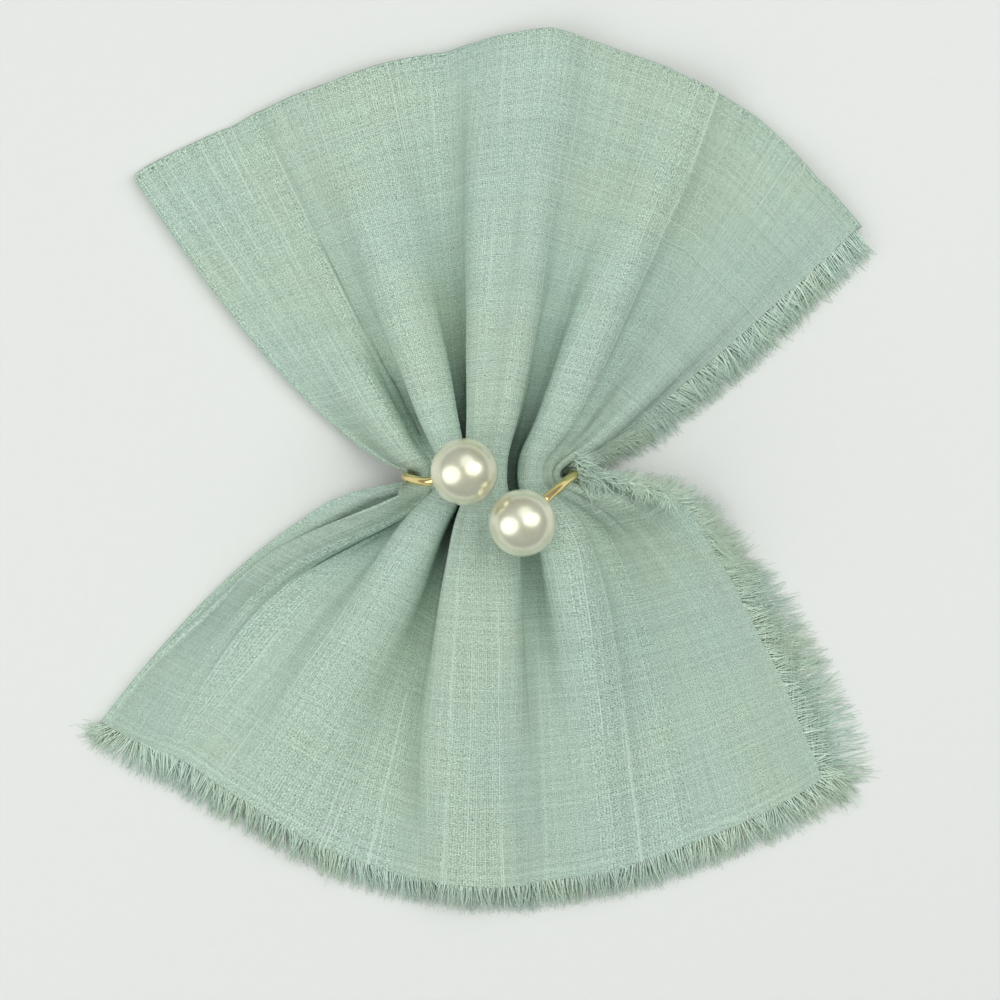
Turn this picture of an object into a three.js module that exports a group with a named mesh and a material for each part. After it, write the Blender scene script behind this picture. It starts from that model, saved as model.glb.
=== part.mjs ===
// A fringed cloth napkin, folded in four and gathered at its middle by an open wire ring with two pearls.
// Millimetres, +Z up. The napkin lies on the plane z = 0, its top fold towards +Y.
import * as THREE from "three";

// Cloth
const CLOTH_THICK = 1.0;
const LAYER_GAP = 0.3;
const LAYER_PITCH = CLOTH_THICK + LAYER_GAP;
const STACK_HALF = 2 * LAYER_PITCH - LAYER_GAP / 2;
const FLOOR = STACK_HALF;

// Gathering
const WAIST_Y = -2;
const WAIST_SQUEEZE = 0.75;
const END_SQUEEZE = 0.4;
const SQUEEZE_REACH = 0.3;
const STRAIGHT_REACH = 0.08;
const NEAR = 0.18;
const MIDDLE = 0.5;
const FAN_RADIUS = 115;

// Fold lines of the gathered stack, from its left fold to its fringed right edge.
// steps: facets up to the next line; waistX, waistZ: place of the line inside the ring.
const FOLD_LINES = rows(
  ["name", "steps", "waistX", "waistZ"],
  ["left fold", 3, -18.8, 12.5],
  ["left roll", 2, -15.3, 19.5],
  ["left pocket", 4, -13.4, 20.5],
  ["left crest", 5, -10.4, 25.8],
  ["crack", 5, -5.4, 5.2],
  ["centre crest, left", 1, -0.2, 26.5],
  ["centre crest, right", 5, 2.2, 26.5],
  ["right valley", 5, 9.3, 5.2],
  ["right crest", 3, 15.2, 26.3],
  ["panel crease", 1, 18.2, 23.2],
  ["panel roll", 3, 19.4, 20.5],
  ["right edge", 0, 22.6, 12],
);

// Where each line ends on the top fold, how it bends on its way, and its height on the way.
const TOP_HALF = rows(
  ["endX", "endY", "bend", "nearZ", "middleZ", "endZ"],
  [-100.6, 84.7, 0.66, 3.2, FLOOR, FLOOR],
  [-72, 99.5, 0.85, 17, FLOOR, FLOOR],
  [-60, 106, 0.88, 8, 6, 4.2],
  [-44, 112.5, 1.1, 25, 19, 7.5],
  [-4, 122.4, 1, 4.2, 3, 3.5],
  [5, 126, 1, 27, 24, 9],
  [19, 127.5, 0.9, 27, 23, 9],
  [36, 121.8, 0.85, 4.2, 3.2, 3.6],
  [57, 113.8, 0.95, 25.5, 20, 8],
  [77, 102.2, 0.85, 13, 4, 2.8],
  [95, 83, 0.87, 15, 6, 4],
  [107, 69, 0.9, 6, 2.6, FLOOR],
);

// The same for the bottom edge.
const BOTTOM_HALF = rows(
  ["endX", "endY", "bend", "nearZ", "middleZ", "endZ"],
  [-109.5, -74, 0.6, 4, FLOOR, FLOOR],
  [-97, -80.5, 0.95, 10, FLOOR, FLOOR],
  [-88, -83.8, 1.05, 4, 2.6, 2.6],
  [-68, -97, 1.12, 24, 18, 6],
  [-19, -117, 0.52, 4, 2.8, 3],
  [-11, -120.4, 0.48, 27, 23.5, 8],
  [6, -121.4, 0.5, 26, 20, 7],
  [17.4, -119.6, 0.4, 7, 6, 4.5],
  [34, -117, 0.5, 25, 17, 6],
  [62, -107.5, 0.48, 7, 3.6, 2.8],
  [84, -98, 0.53, 10, 5.5, 3.4],
  [99.9, -88.1, 0.42, 7, 2.6, FLOOR],
);

// How far the upper pair of layers falls short of the lower pair, as a share of the last fold's width.
const FRINGE_RECESS = 0.22;
const RECESS_START = 0.3;

// Fringe: a root strip along each frayed edge of a pair of layers, with its locks of thread.
const STRIP_GAP = 0.6;
const STRIP_WIDE = 1.5;
const STRIP_THICK = 1.5;
const UPPER_STRIP = LAYER_PITCH;
const LOWER_STRIP = STRIP_THICK / 2 - STACK_HALF;
const LOCK_PITCH = 3.9;
const LOCK_WIDE = 1.8;
const LOCK_LONG = 10;
const LOCK_UNEVEN = 2;
const LOCK_SLANT = 0.12;
const LOCK_LEAN = 0.45;
const LOCK_DROP = 0.25;
const UPPER_REST = 2.7;

// Ring: one length of wire, from the tip in pearl one, under the cloth, to the tip in pearl two.
const WIRE_RADIUS = 1.3;
const WIRE_SIDES = 8;
const WIRE_STEPS = 44;
const WIRE_ROUTE = rows(
  ["x", "y", "z"],
  [-20.2, -3.2, 30.4],
  [-22.3, -2.4, 21],
  [-21.6, -2.2, 10.8],
  [-16.2, -2.4, 3.4],
  [-6, -2.5, WIRE_RADIUS + 0.25],
  [9, -2.3, WIRE_RADIUS + 0.25],
  [18.4, -2.1, 3.3],
  [24.4, -1.9, 10],
  [25.8, -1.8, 20],
  [23.2, -3.9, 28.8],
);

// Pearls, each with a blind hole for the end of the wire
const PEARL_RADIUS = 9.5;
const HOLE_RADIUS = WIRE_RADIUS + 0.35;
const HOLE_DEPTH = 6.3;
const PEARL_SIDES = 20;
const PEARL_BANDS = 11;
const TIP_GAP = 0.4;
const STRAIGHT_END = 11;
const PEARLS = rows(
  ["name", "x", "y", "z", "toWireX", "toWireY", "toWireZ"],
  ["pearl_one", -5.4, -1.1, 39.2, -0.92, -0.25, -0.3],
  ["pearl_two", 10.9, -15.4, 39.2, 0.66, 0.66, -0.36],
);

// Places along each half, from the ring out, at which the cloth has a row of points.
const TOP_STATIONS = [0, 0.03, 0.07, 0.13, 0.24, 0.42, 0.68, 1];
const BOTTOM_STATIONS = [0.02, 0.04, 0.065, 0.1, 0.16, 0.27, 0.45, 0.7, 1];
const TOP_BEND_STEPS = 4;
const LEFT_BEND_STEPS = 2;

const clothMaterial = new THREE.MeshStandardMaterial({ color: 0xa9c7b4, roughness: 0.92, metalness: 0 });
const fringeMaterial = new THREE.MeshStandardMaterial({ color: 0xa3c2ae, roughness: 0.95, metalness: 0 });
const goldMaterial = new THREE.MeshStandardMaterial({ color: 0xd8bd6a, roughness: 0.25, metalness: 1 });
const pearlMaterial = new THREE.MeshStandardMaterial({ color: 0xe9e6da, roughness: 0.25, metalness: 0.1 });

function rows(columns, ...values) {
  return values.map((row) => Object.fromEntries(columns.map((column, i) => [column, row[i]])));
}

function clamp01(t) {
  return Math.min(1, Math.max(0, t));
}

// A smooth curve through heights at 0, NEAR, MIDDLE and 1, level at 0, that never overshoots.
function heightAlong(tau, heights) {
  const at = [0, NEAR, MIDDLE, 1];
  const secant = at.slice(1).map((a, i) => (heights[i + 1] - heights[i]) / (a - at[i]));
  const slope = [0, harmonic(secant[0], secant[1]), harmonic(secant[1], secant[2]), secant[2]];
  const i = tau < NEAR ? 0 : tau < MIDDLE ? 1 : 2;
  const step = at[i + 1] - at[i];
  const t = (tau - at[i]) / step;
  const back = 1 - t;
  return (
    heights[i] * (1 + 2 * t) * back * back +
    slope[i] * step * t * back * back +
    heights[i + 1] * (3 - 2 * t) * t * t -
    slope[i + 1] * step * t * t * back
  );
}

function harmonic(a, b) {
  return a * b <= 0 ? 0 : (2 * a * b) / (a + b);
}

// A point of a fold line. v runs from -1 at the bottom edge through 0 in the ring to 1 at the top fold.
function onLine(index, v) {
  const line = FOLD_LINES[index];
  const half = v < 0 ? BOTTOM_HALF[index] : TOP_HALF[index];
  const tau = Math.abs(v);
  const spread = Math.pow(tau, half.bend) * (1 - Math.exp(-((tau / STRAIGHT_REACH) ** 2)));
  return new THREE.Vector3(
    line.waistX + (half.endX - line.waistX) * spread,
    WAIST_Y + (half.endY - WAIST_Y) * tau,
    heightAlong(tau, [line.waistZ, half.nearZ, half.middleZ, half.endZ]),
  );
}

// A fold's flank from crest to valley: an arc, a straight run and an arc back, level at both ends.
// q runs from 0 to 1; the result is the share of the run and of the rise.
function flank(q, run, rise) {
  const steep = rise > run;
  const angle = steep ? Math.PI / 2 : 2 * Math.atan(rise / run);
  if (angle < 1e-3) return [q, q];
  const radius = steep ? run / 2 : (run * run + rise * rise) / (4 * rise);
  const arc = radius * angle;
  const straight = steep ? rise - run : 0;
  const length = 2 * arc + straight;
  const arcShare = Math.min(arc / length, 0.4);
  const first = q <= 0.5;
  const near = first ? q : 1 - q;
  const along = length * (near < 0.4 ? (near / 0.4) * arcShare : arcShare + ((near - 0.4) / 0.2) * (1 - 2 * arcShare));
  const turn = Math.min(along, arc) / radius;
  const x = radius * Math.sin(turn) / run;
  const z = (radius * (1 - Math.cos(turn)) + Math.max(0, along - arc)) / rise;
  return first ? [x, z] : [1 - x, 1 - z];
}

// A point of the stack's middle surface; across counts fold lines from the left, 0 to 11.
function middle(across, v) {
  const index = Math.min(FOLD_LINES.length - 2, Math.max(0, Math.floor(across)));
  const a = onLine(index, v);
  const b = onLine(index + 1, v);
  const run = Math.hypot(b.x - a.x, b.y - a.y);
  const [x, z] = flank(across - index, run, Math.abs(b.z - a.z));
  const point = new THREE.Vector3().lerpVectors(a, b, x);
  point.z = a.z + (b.z - a.z) * z;
  const bow = (Math.abs(v) * run * run * x * (1 - x)) / (2 * FAN_RADIUS);
  const outward = new THREE.Vector3(point.x, point.y - WAIST_Y, 0).normalize();
  return point.addScaledVector(outward, bow);
}

// The middle surface's point with its tangents and its upward normal.
function frameAt(across, v) {
  const last = FOLD_LINES.length - 1;
  const d = 1e-3;
  const u0 = Math.max(0, across - d);
  const u1 = Math.min(last, across + d);
  const v0 = Math.max(-1, v - d);
  const v1 = Math.min(1, v + d);
  const alongU = middle(u1, v).sub(middle(u0, v)).normalize();
  const alongV = middle(across, v1).sub(middle(across, v0)).normalize();
  const normal = new THREE.Vector3().crossVectors(alongU, alongV).normalize();
  return {
    point: middle(across, v),
    alongU,
    alongV,
    normal,
    left: new THREE.Vector3().crossVectors(normal, alongV).normalize(),
    up: new THREE.Vector3().crossVectors(normal, alongU).normalize(),
  };
}

// How far the layers are pressed together, most at both ends of the bundle in the ring.
function squeeze(across, v) {
  const ends = Math.abs(across / (FOLD_LINES.length - 1) - 0.5) * 2;
  const pressed = 1 - WAIST_SQUEEZE + (WAIST_SQUEEZE - END_SQUEEZE) * clamp01(3 * ends - 1);
  return 1 - pressed * Math.exp(-((v / SQUEEZE_REACH) ** 2));
}

// The upper pair of layers ends a little short of the lower pair on the right of the bottom half.
function recessed(across, v, isUpper) {
  const last = FOLD_LINES.length - 1;
  if (!isUpper || v > -RECESS_START) return across;
  const share = Math.sin((Math.PI / 2) * clamp01((-v - RECESS_START) / 0.3));
  return across - FRINGE_RECESS * share * clamp01(across - last + 1);
}

// Stations across the sheet: each layer's facets, and the bend at the left fold between two layers.
function sheetColumns() {
  const across = [];
  FOLD_LINES.forEach(({ steps }, index) => {
    for (let k = 0; k < steps; k++) across.push(index + k / steps);
  });
  across.push(FOLD_LINES.length - 1);
  return bentStations(across, LEFT_BEND_STEPS);
}

function sheetRows() {
  const places = [...[...TOP_STATIONS].reverse(), ...BOTTOM_STATIONS.map((tau) => -tau)];
  return bentStations(places, TOP_BEND_STEPS);
}

// The stations there, the turn of the bend, and back.
function bentStations(places, steps) {
  const back = [...places].reverse().map((place) => ({ place, turn: -Math.PI / 2 }));
  const ahead = places.map((place) => ({ place, turn: Math.PI / 2 }));
  const bend = [];
  for (let k = 1; k < steps; k++) bend.push({ place: places[0], turn: -Math.PI / 2 + (Math.PI * k) / steps });
  return [...back, ...bend, ...ahead];
}

// A point on one face of the sheet: side is 1 on its outer face and -1 on its inner face.
function sheetPoint(column, row, side) {
  const v = row.place;
  const frame = frameAt(recessed(column.place, v, row.turn > 0), v);
  const tight = squeeze(column.place, v);
  const radius = (LAYER_PITCH / 2 + (side * CLOTH_THICK) / 2) * tight;
  const lift = LAYER_PITCH * tight + radius * Math.sin(column.turn);
  return frame.point
    .clone()
    .addScaledVector(frame.normal, lift * Math.sin(row.turn))
    .addScaledVector(frame.up, lift * Math.cos(row.turn))
    .addScaledVector(frame.left, radius * Math.cos(column.turn));
}

// Whether a facet is split along its other diagonal, which is the same one in every layer:
// the one that lies nearer to the curved cloth.
function turnsDiagonal(column, nextColumn, row, nextRow) {
  const [u0, u1] = [column.place, nextColumn.place].sort((a, b) => a - b);
  const [v0, v1] = [row.place, nextRow.place].sort((a, b) => a - b);
  const centre = middle((u0 + u1) / 2, (v0 + v1) / 2);
  const gap = (a, b) => a.add(b).multiplyScalar(0.5).distanceTo(centre);
  const rising = gap(middle(u0, v0), middle(u1, v1)) <= gap(middle(u0, v1), middle(u1, v0));
  const mirrored = nextColumn.place > column.place !== nextRow.place > row.place;
  return rising === mirrored;
}

// A closed skin over a grid of points on two faces.
function sheetGeometry(columns, rowList, pointAt) {
  const wide = columns.length;
  const high = rowList.length;
  const positions = [];
  for (const side of [1, -1]) {
    for (const row of rowList) {
      for (const column of columns) positions.push(...pointAt(column, row, side).toArray());
    }
  }
  const at = (side, r, c) => (side > 0 ? 0 : wide * high) + r * wide + c;
  const faces = [];
  const quad = (a, b, c, d) => faces.push(a, b, c, a, c, d);
  for (let r = 0; r + 1 < high; r++) {
    for (let c = 0; c + 1 < wide; c++) {
      const outer = [at(1, r, c), at(1, r, c + 1), at(1, r + 1, c + 1), at(1, r + 1, c)];
      const inner = [at(-1, r, c), at(-1, r + 1, c), at(-1, r + 1, c + 1), at(-1, r, c + 1)];
      const turned = turnsDiagonal(columns[c], columns[c + 1], rowList[r], rowList[r + 1]);
      quad(...(turned ? [...outer.slice(1), outer[0]] : outer));
      quad(...(turned ? [...inner.slice(1), inner[0]] : inner));
    }
  }
  for (let c = 0; c + 1 < wide; c++) {
    quad(at(1, 0, c), at(-1, 0, c), at(-1, 0, c + 1), at(1, 0, c + 1));
    quad(at(1, high - 1, c), at(1, high - 1, c + 1), at(-1, high - 1, c + 1), at(-1, high - 1, c));
  }
  for (let r = 0; r + 1 < high; r++) {
    quad(at(1, r, 0), at(1, r + 1, 0), at(-1, r + 1, 0), at(-1, r, 0));
    quad(at(1, r, wide - 1), at(-1, r, wide - 1), at(-1, r + 1, wide - 1), at(1, r + 1, wide - 1));
  }
  const geometry = new THREE.BufferGeometry();
  geometry.setAttribute("position", new THREE.Float32BufferAttribute(positions, 3));
  geometry.setIndex(faces.reverse());
  geometry.computeVertexNormals();
  return geometry;
}

function napkinCloth() {
  const geometry = sheetGeometry(sheetColumns(), sheetRows(), sheetPoint);
  const mesh = new THREE.Mesh(geometry, clothMaterial);
  mesh.name = "napkin_cloth";
  return mesh;
}

// Points along a frayed edge, evenly enough spaced to measure lengths on.
function edgePath(edge, isUpper) {
  const count = 240;
  const path = [];
  let length = 0;
  for (let i = 0; i <= count; i++) {
    const t = edge.from + ((edge.to - edge.from) * i) / count;
    const v = edge.isBottom ? -1 : t;
    const across = recessed(edge.isBottom ? Math.min(t, edge.last) : FOLD_LINES.length - 1, v, isUpper);
    const frame = frameAt(across, v);
    const outward = (edge.isBottom ? frame.up : frame.left).clone().negate();
    const thread = edge.isBottom ? frame.alongV.clone().negate() : frame.alongU.clone();
    const tight = squeeze(across, v);
    const lift = (isUpper ? UPPER_STRIP : LOWER_STRIP) * tight;
    const point = frame.point.clone().addScaledVector(frame.normal, lift);
    if (i > 0) length += point.distanceTo(path[i - 1].point);
    path.push({ point, outward, thread, normal: frame.normal, tight, length });
  }
  return path;
}

// The place on the path at a given length from its start.
function placeOn(path, length) {
  let i = 1;
  while (i < path.length - 1 && path[i].length < length) i++;
  const a = path[i - 1];
  const b = path[i];
  const t = clamp01((length - a.length) / (b.length - a.length));
  const mix = (key) => new THREE.Vector3().lerpVectors(a[key], b[key], t);
  return {
    point: mix("point"),
    outward: mix("outward"),
    thread: mix("thread"),
    normal: mix("normal"),
    tight: a.tight + (b.tight - a.tight) * t,
  };
}

// A number from -1 to 1 that looks uneven from one lock to the next but is always the same.
function uneven(index, seed) {
  const wave = Math.sin(index * 12.9898 + seed * 78.233) * 43758.5453;
  return 2 * (wave - Math.floor(wave)) - 1;
}

// The four corners of the root strip's section: inner low, inner high, outer high, outer low.
function stripCorners(place) {
  const corner = (out, high) => {
    const point = place.point
      .clone()
      .addScaledVector(place.outward, out)
      .addScaledVector(place.normal, high);
    point.z = Math.max(0, point.z);
    return point;
  };
  const half = (STRIP_THICK / 2) * place.tight;
  const far = STRIP_GAP + STRIP_WIDE;
  return [corner(STRIP_GAP, -half), corner(STRIP_GAP, half), corner(far, half), corner(far, -half)];
}

// All the locks lean a little the same way, to the right of the napkin and down.
const LEAN = new THREE.Vector3(1, -1, 0).multiplyScalar(LOCK_LEAN / Math.SQRT2);

// The tip of a lock, which lies level on the surface or on the locks below it.
function lockTip(place, index, seed, isUpper) {
  const length = LOCK_LONG + LOCK_UNEVEN * uneven(index, seed);
  const slant = LOCK_SLANT * uneven(index, seed + 1);
  const heading = new THREE.Vector3(place.thread.x + place.outward.x, place.thread.y + place.outward.y, 0);
  heading.normalize().add(LEAN).normalize().applyAxisAngle(new THREE.Vector3(0, 0, 1), slant);
  const root = place.point.clone().addScaledVector(place.outward, STRIP_GAP + STRIP_WIDE);
  const tip = root.clone().addScaledVector(heading, length);
  tip.z = Math.max(isUpper ? UPPER_REST : 0, root.z - STRIP_THICK / 2 - LOCK_DROP * length);
  return tip;
}

// A root strip with its locks, as one closed skin: each lock grows out of its own part of the strip's outer face.
function fringeGeometry(edge, isUpper, seed) {
  const path = edgePath(edge, isUpper);
  const total = path[path.length - 1].length;
  const count = Math.floor(total / LOCK_PITCH);
  const pitch = total / count;
  const positions = [];
  const faces = [];
  const sections = [];
  const addSection = (length) => {
    const first = positions.length / 3;
    stripCorners(placeOn(path, length)).forEach((corner) => positions.push(...corner.toArray()));
    sections.push(first);
  };
  const quad = (a, b, c, d) => faces.push(a, b, c, a, c, d);
  for (let i = 0; i < count; i++) {
    const middleLength = (i + 0.5) * pitch;
    addSection(middleLength - LOCK_WIDE / 2);
    addSection(middleLength + LOCK_WIDE / 2);
    const tip = positions.length / 3;
    positions.push(...lockTip(placeOn(path, middleLength), i, seed, isUpper).toArray());
    const [a, b] = sections.slice(-2);
    for (const [m, n] of [[2, 3], [3, 2]]) faces.push(tip, (m === 2 ? a : b) + m, (m === 2 ? a : b) + n);
    faces.push(tip, b + 2, a + 2);
    faces.push(tip, a + 3, b + 3);
  }
  sections.forEach((a, i) => {
    const b = sections[i + 1];
    if (b === undefined) return;
    for (const k of [0, 1, 2, 3]) {
      if (k === 2 && i % 2 === 0) continue;
      const next = (k + 1) % 4;
      quad(a + k, a + next, b + next, b + k);
    }
  });
  const start = sections[0];
  const end = sections[sections.length - 1];
  quad(start, start + 3, start + 2, start + 1);
  quad(end, end + 1, end + 2, end + 3);
  const geometry = new THREE.BufferGeometry();
  geometry.setAttribute("position", new THREE.Float32BufferAttribute(positions, 3));
  geometry.setIndex(faces);
  geometry.computeVertexNormals();
  return geometry;
}

const FRAYED_EDGES = [
  { name: "fringe_bottom", isBottom: true, from: 0.1, to: 10.9, last: 11 },
  { name: "fringe_right_bottom", isBottom: false, from: -0.99, to: -0.14 },
  { name: "fringe_right_top", isBottom: false, from: 0.14, to: 0.99 },
];

function fringes() {
  return FRAYED_EDGES.flatMap((edge, i) =>
    [true, false].map((isUpper) => {
      const seed = 2 * i + (isUpper ? 1 : 0);
      const mesh = new THREE.Mesh(fringeGeometry(edge, isUpper, seed), fringeMaterial);
      mesh.name = edge.name + (isUpper ? "_upper" : "_lower");
      return mesh;
    }),
  );
}

const pointOf = ({ x, y, z }) => new THREE.Vector3(x, y, z);
const wireDirection = ({ toWireX, toWireY, toWireZ }) => new THREE.Vector3(toWireX, toWireY, toWireZ).normalize();
const HOLE_RIM = Math.asin(HOLE_RADIUS / PEARL_RADIUS);
const HOLE_FLOOR = PEARL_RADIUS * Math.cos(HOLE_RIM) - HOLE_DEPTH;

// The wire's straight end, from its tip inside a pearl to a little outside the pearl.
function wireEnd(pearl) {
  const tip = HOLE_FLOOR + TIP_GAP;
  const alongEnd = (distance) => pointOf(pearl).addScaledVector(wireDirection(pearl), distance);
  return [alongEnd(tip), alongEnd((tip + STRAIGHT_END) / 2), alongEnd(STRAIGHT_END)];
}

function ringWire() {
  const [first, second] = PEARLS;
  const points = [...wireEnd(first), ...WIRE_ROUTE.map(pointOf), ...wireEnd(second).reverse()];
  const route = new THREE.CatmullRomCurve3(points);
  const section = new THREE.Shape(
    [...Array(WIRE_SIDES).keys()].map((i) => {
      const angle = ((i + 0.5) * 2 * Math.PI) / WIRE_SIDES;
      return new THREE.Vector2(Math.cos(angle), Math.sin(angle)).multiplyScalar(WIRE_RADIUS);
    }),
  );
  const geometry = new THREE.ExtrudeGeometry(section, { steps: WIRE_STEPS, extrudePath: route, bevelEnabled: false });
  const mesh = new THREE.Mesh(geometry, goldMaterial);
  mesh.name = "ring_wire";
  return mesh;
}

// A ball whose blind hole opens towards the wire.
function pearlBall(pearl) {
  const profile = [new THREE.Vector2(0, -PEARL_RADIUS)];
  for (let i = 1; i <= PEARL_BANDS; i++) {
    const angle = ((Math.PI - HOLE_RIM) * i) / PEARL_BANDS;
    profile.push(new THREE.Vector2(PEARL_RADIUS * Math.sin(angle), -PEARL_RADIUS * Math.cos(angle)));
  }
  profile.push(new THREE.Vector2(HOLE_RADIUS, HOLE_FLOOR), new THREE.Vector2(0, HOLE_FLOOR));
  const mesh = new THREE.Mesh(new THREE.LatheGeometry(profile, PEARL_SIDES), pearlMaterial);
  mesh.quaternion.setFromUnitVectors(new THREE.Vector3(0, 1, 0), wireDirection(pearl));
  mesh.position.copy(pointOf(pearl));
  mesh.name = pearl.name;
  return mesh;
}

const napkin = new THREE.Group();
napkin.add(napkinCloth(), ...fringes(), ringWire(), ...PEARLS.map(pearlBall));

// The origin is the bottom centre of the whole object.
const box = new THREE.Box3().setFromObject(napkin, true);
napkin.position.set(-(box.min.x + box.max.x) / 2, -(box.min.y + box.max.y) / 2, -box.min.z);

export default napkin;
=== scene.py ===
"""A fringed gauze napkin, folded in quarters and pinched by an open wire ring with two pearls."""

import math

import bmesh
import bpy
import numpy as np
from bpy.props import FloatProperty, FloatVectorProperty, IntProperty, PointerProperty
from bpy.types import Operator, Panel, PropertyGroup
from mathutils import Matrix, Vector


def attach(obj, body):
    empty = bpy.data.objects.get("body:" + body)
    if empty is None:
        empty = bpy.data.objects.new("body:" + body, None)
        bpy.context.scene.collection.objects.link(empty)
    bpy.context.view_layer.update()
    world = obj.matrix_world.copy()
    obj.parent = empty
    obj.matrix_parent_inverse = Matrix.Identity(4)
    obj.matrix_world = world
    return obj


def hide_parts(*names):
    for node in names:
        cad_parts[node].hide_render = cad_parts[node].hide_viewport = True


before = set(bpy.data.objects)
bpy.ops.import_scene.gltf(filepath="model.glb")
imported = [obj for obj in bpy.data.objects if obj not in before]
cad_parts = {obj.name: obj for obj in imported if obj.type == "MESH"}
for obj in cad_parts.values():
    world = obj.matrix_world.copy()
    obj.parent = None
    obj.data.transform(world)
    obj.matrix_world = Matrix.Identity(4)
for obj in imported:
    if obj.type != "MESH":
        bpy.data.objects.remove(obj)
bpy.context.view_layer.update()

bl_info = {
    "name": "Napkin in a pearl ring",
    "version": (1, 0, 0),
    "blender": (4, 5, 0),
    "location": "View3D > Sidebar > Napkin",
    "description": "Makes a fringed gauze napkin that is gathered in a wire ring with two pearls",
    "category": "Add Mesh",
}

MM = 0.001

# The tables are in millimetres from the middle of the ring. SHIFT takes them to the frame's origin.
SHIFT = np.array([-2.0765, 2.3954, 0.0])

# The ring's y, how much the layers are pressed together at its middle and at its ends,
# and how far along the fans that reaches, as a share of the way to their edges.
WAIST_Y = -2.0
WAIST_SQUEEZE = 0.75
END_SQUEEZE = 0.4
SQUEEZE_REACH = 0.3

# Shares of the way from the ring to an edge at which the tables give heights.
NEAR = 0.18
MIDDLE = 0.5

# Radius of the fans' outer edges, and half the height of the four layers in the solid.
FAN_RADIUS = 115.0
SOLID_STACK_HALF = 2.45

# Height of the stack's middle where it lies flat.
FLOOR = SOLID_STACK_HALF

# How far the upper pair of layers stops short below the ring, in gaps between fold lines: on the
# right, from this share of the way down on, and on the left, where its lip also rises by millimetres.
FRINGE_RECESS = 0.13
RECESS_START = 0.3
LIP_RECESS = 0.45
LIP_RISE = 2.4

# How much rounder the left fold is than the pressed one, and the cloth's way round a fold.
PLUMP_FOLD = 1.7
FOLD_ARC = 1.8 * MM

# The narrow last strip along the frayed edges, and how uneven the edges are.
BORDER_COLUMN = 0.04
BORDER_ROW = 0.005
UNEVEN_COLUMN = 0.03
UNEVEN_ROW = 0.0045

# Fold lines from the left fold to the fringed right edge:
# x and height inside the ring, and share of the cloth's width.
FOLD_LINES = np.array([
    [-18.8, 12.5, 0.0],
    [-15.3, 19.5, 0.10],
    [-14.5, 19.9, 0.125],
    [-13.4, 20.5, 0.15],
    [-8.8, 25.8, 0.24],
    [-4.5, 5.2, 0.34],
    [-2.5, 26.0, 0.44],
    [2.2, 26.5, 0.49],
    [8.2, 5.2, 0.59],
    [13.6, 26.0, 0.69],
    [18.2, 23.2, 0.76],
    [19.4, 20.5, 0.88],
    [22.6, 12.0, 1.0],
])
LAST = len(FOLD_LINES) - 1

# Faces round a bend, how the rows crowd towards the ring, and faces between neighbouring fold lines.
BEND_STEPS = 7
ROW_CROWDING = 1.35
STEPS = (8, 7, 6, 9, 12, 13, 6, 13, 12, 9, 8, 8)

# Where each line ends on the top fold, how it bends, and its heights at NEAR, at MIDDLE and at its end.
TOP_HALF = np.array([
    [-98.9, 83.6, 0.70, 3.2, FLOOR, FLOOR],
    [-71.5, 97.8, 0.85, 16, 3.5, FLOOR],
    [-65, 101.4, 0.98, 7.8, 6, 4.2],
    [-63, 102.2, 1.0, 7, 6, 4.2],
    [-44, 109.8, 1.1, 25, 19, 7.5],
    [-11, 118.5, 1, 9.5, 9, 5],
    [5.5, 123.2, 1.0, 26.5, 22, 9],
    [19, 125.2, 0.9, 26, 19, 8.5],
    [39, 119, 0.95, 11, 9, 5.5],
    [59, 110.8, 0.95, 25, 17, 8],
    [77, 101, 0.85, 13, 4.5, 2.8],
    [95, 83, 0.87, 15, 6, 4],
    [108, 69, 0.9, 6, 2.6, FLOOR],
])

# The same for the bottom edge.
BOTTOM_HALF = np.array([
    [-109.5, -74, 0.6, 6, 3.8, FLOOR],
    [-97, -80.5, 0.54, 13, 5.2, FLOOR],
    [-93, -82, 0.58, 4, 3.3, FLOOR],
    [-88, -83.8, 0.92, 3, 3.2, 2.8],
    [-68, -96, 1.12, 24, 17, 6.5],
    [-27, -116.5, 0.8, 8, 6, 4],
    [-13, -119, 0.5, 26, 22, 8],
    [6, -120.5, 0.5, 25, 18.5, 7],
    [17.4, -119, 0.4, 10, 10, 6],
    [34, -116, 0.5, 24, 15.5, 7],
    [62, -107.5, 0.48, 5.5, 3.6, 2.8],
    [84, -98, 0.53, 5, 4.5, 3.4],
    [99.9, -88.1, 0.42, 9.5, 2.6, FLOOR],
])

# How soon each line leaves the ring's grip, as a share of the way out, above and below the ring.
GRIP = np.array([
    [0.022, 0.045],
    [0.035, 0.21],
    [0.045, 0.235],
    [0.05, 0.06],
    [0.08, 0.08],
    [0.08, 0.08],
    [0.08, 0.08],
    [0.08, 0.08],
    [0.08, 0.08],
    [0.08, 0.08],
    [0.07, 0.07],
    [0.06, 0.06],
    [0.06, 0.06],
])

# Centre line of the wire, and the pearls with the direction in which their wire leaves them.
WIRE_ROUTE = (
    (-20.2, -3.2, 30.4),
    (-22.3, -2.4, 21),
    (-21.6, -2.2, 10.8),
    (-16.2, -2.4, 3.4),
    (-6, -2.5, 1.55),
    (9, -2.3, 1.55),
    (18.4, -2.1, 3.3),
    (24.4, -1.9, 10),
    (25.8, -1.8, 20),
    (23.2, -3.9, 28.8),
)
PEARLS = (
    ("pearl_one", (-5.4, -1.1, 39.2), (-0.92, -0.25, -0.3)),
    ("pearl_two", (10.9, -15.4, 39.2), (0.66, 0.66, -0.36)),
)


def smooth(low, high, value):
    share = np.clip((value - low) / (high - low), 0, 1)
    return share * share * (3 - 2 * share)


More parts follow.
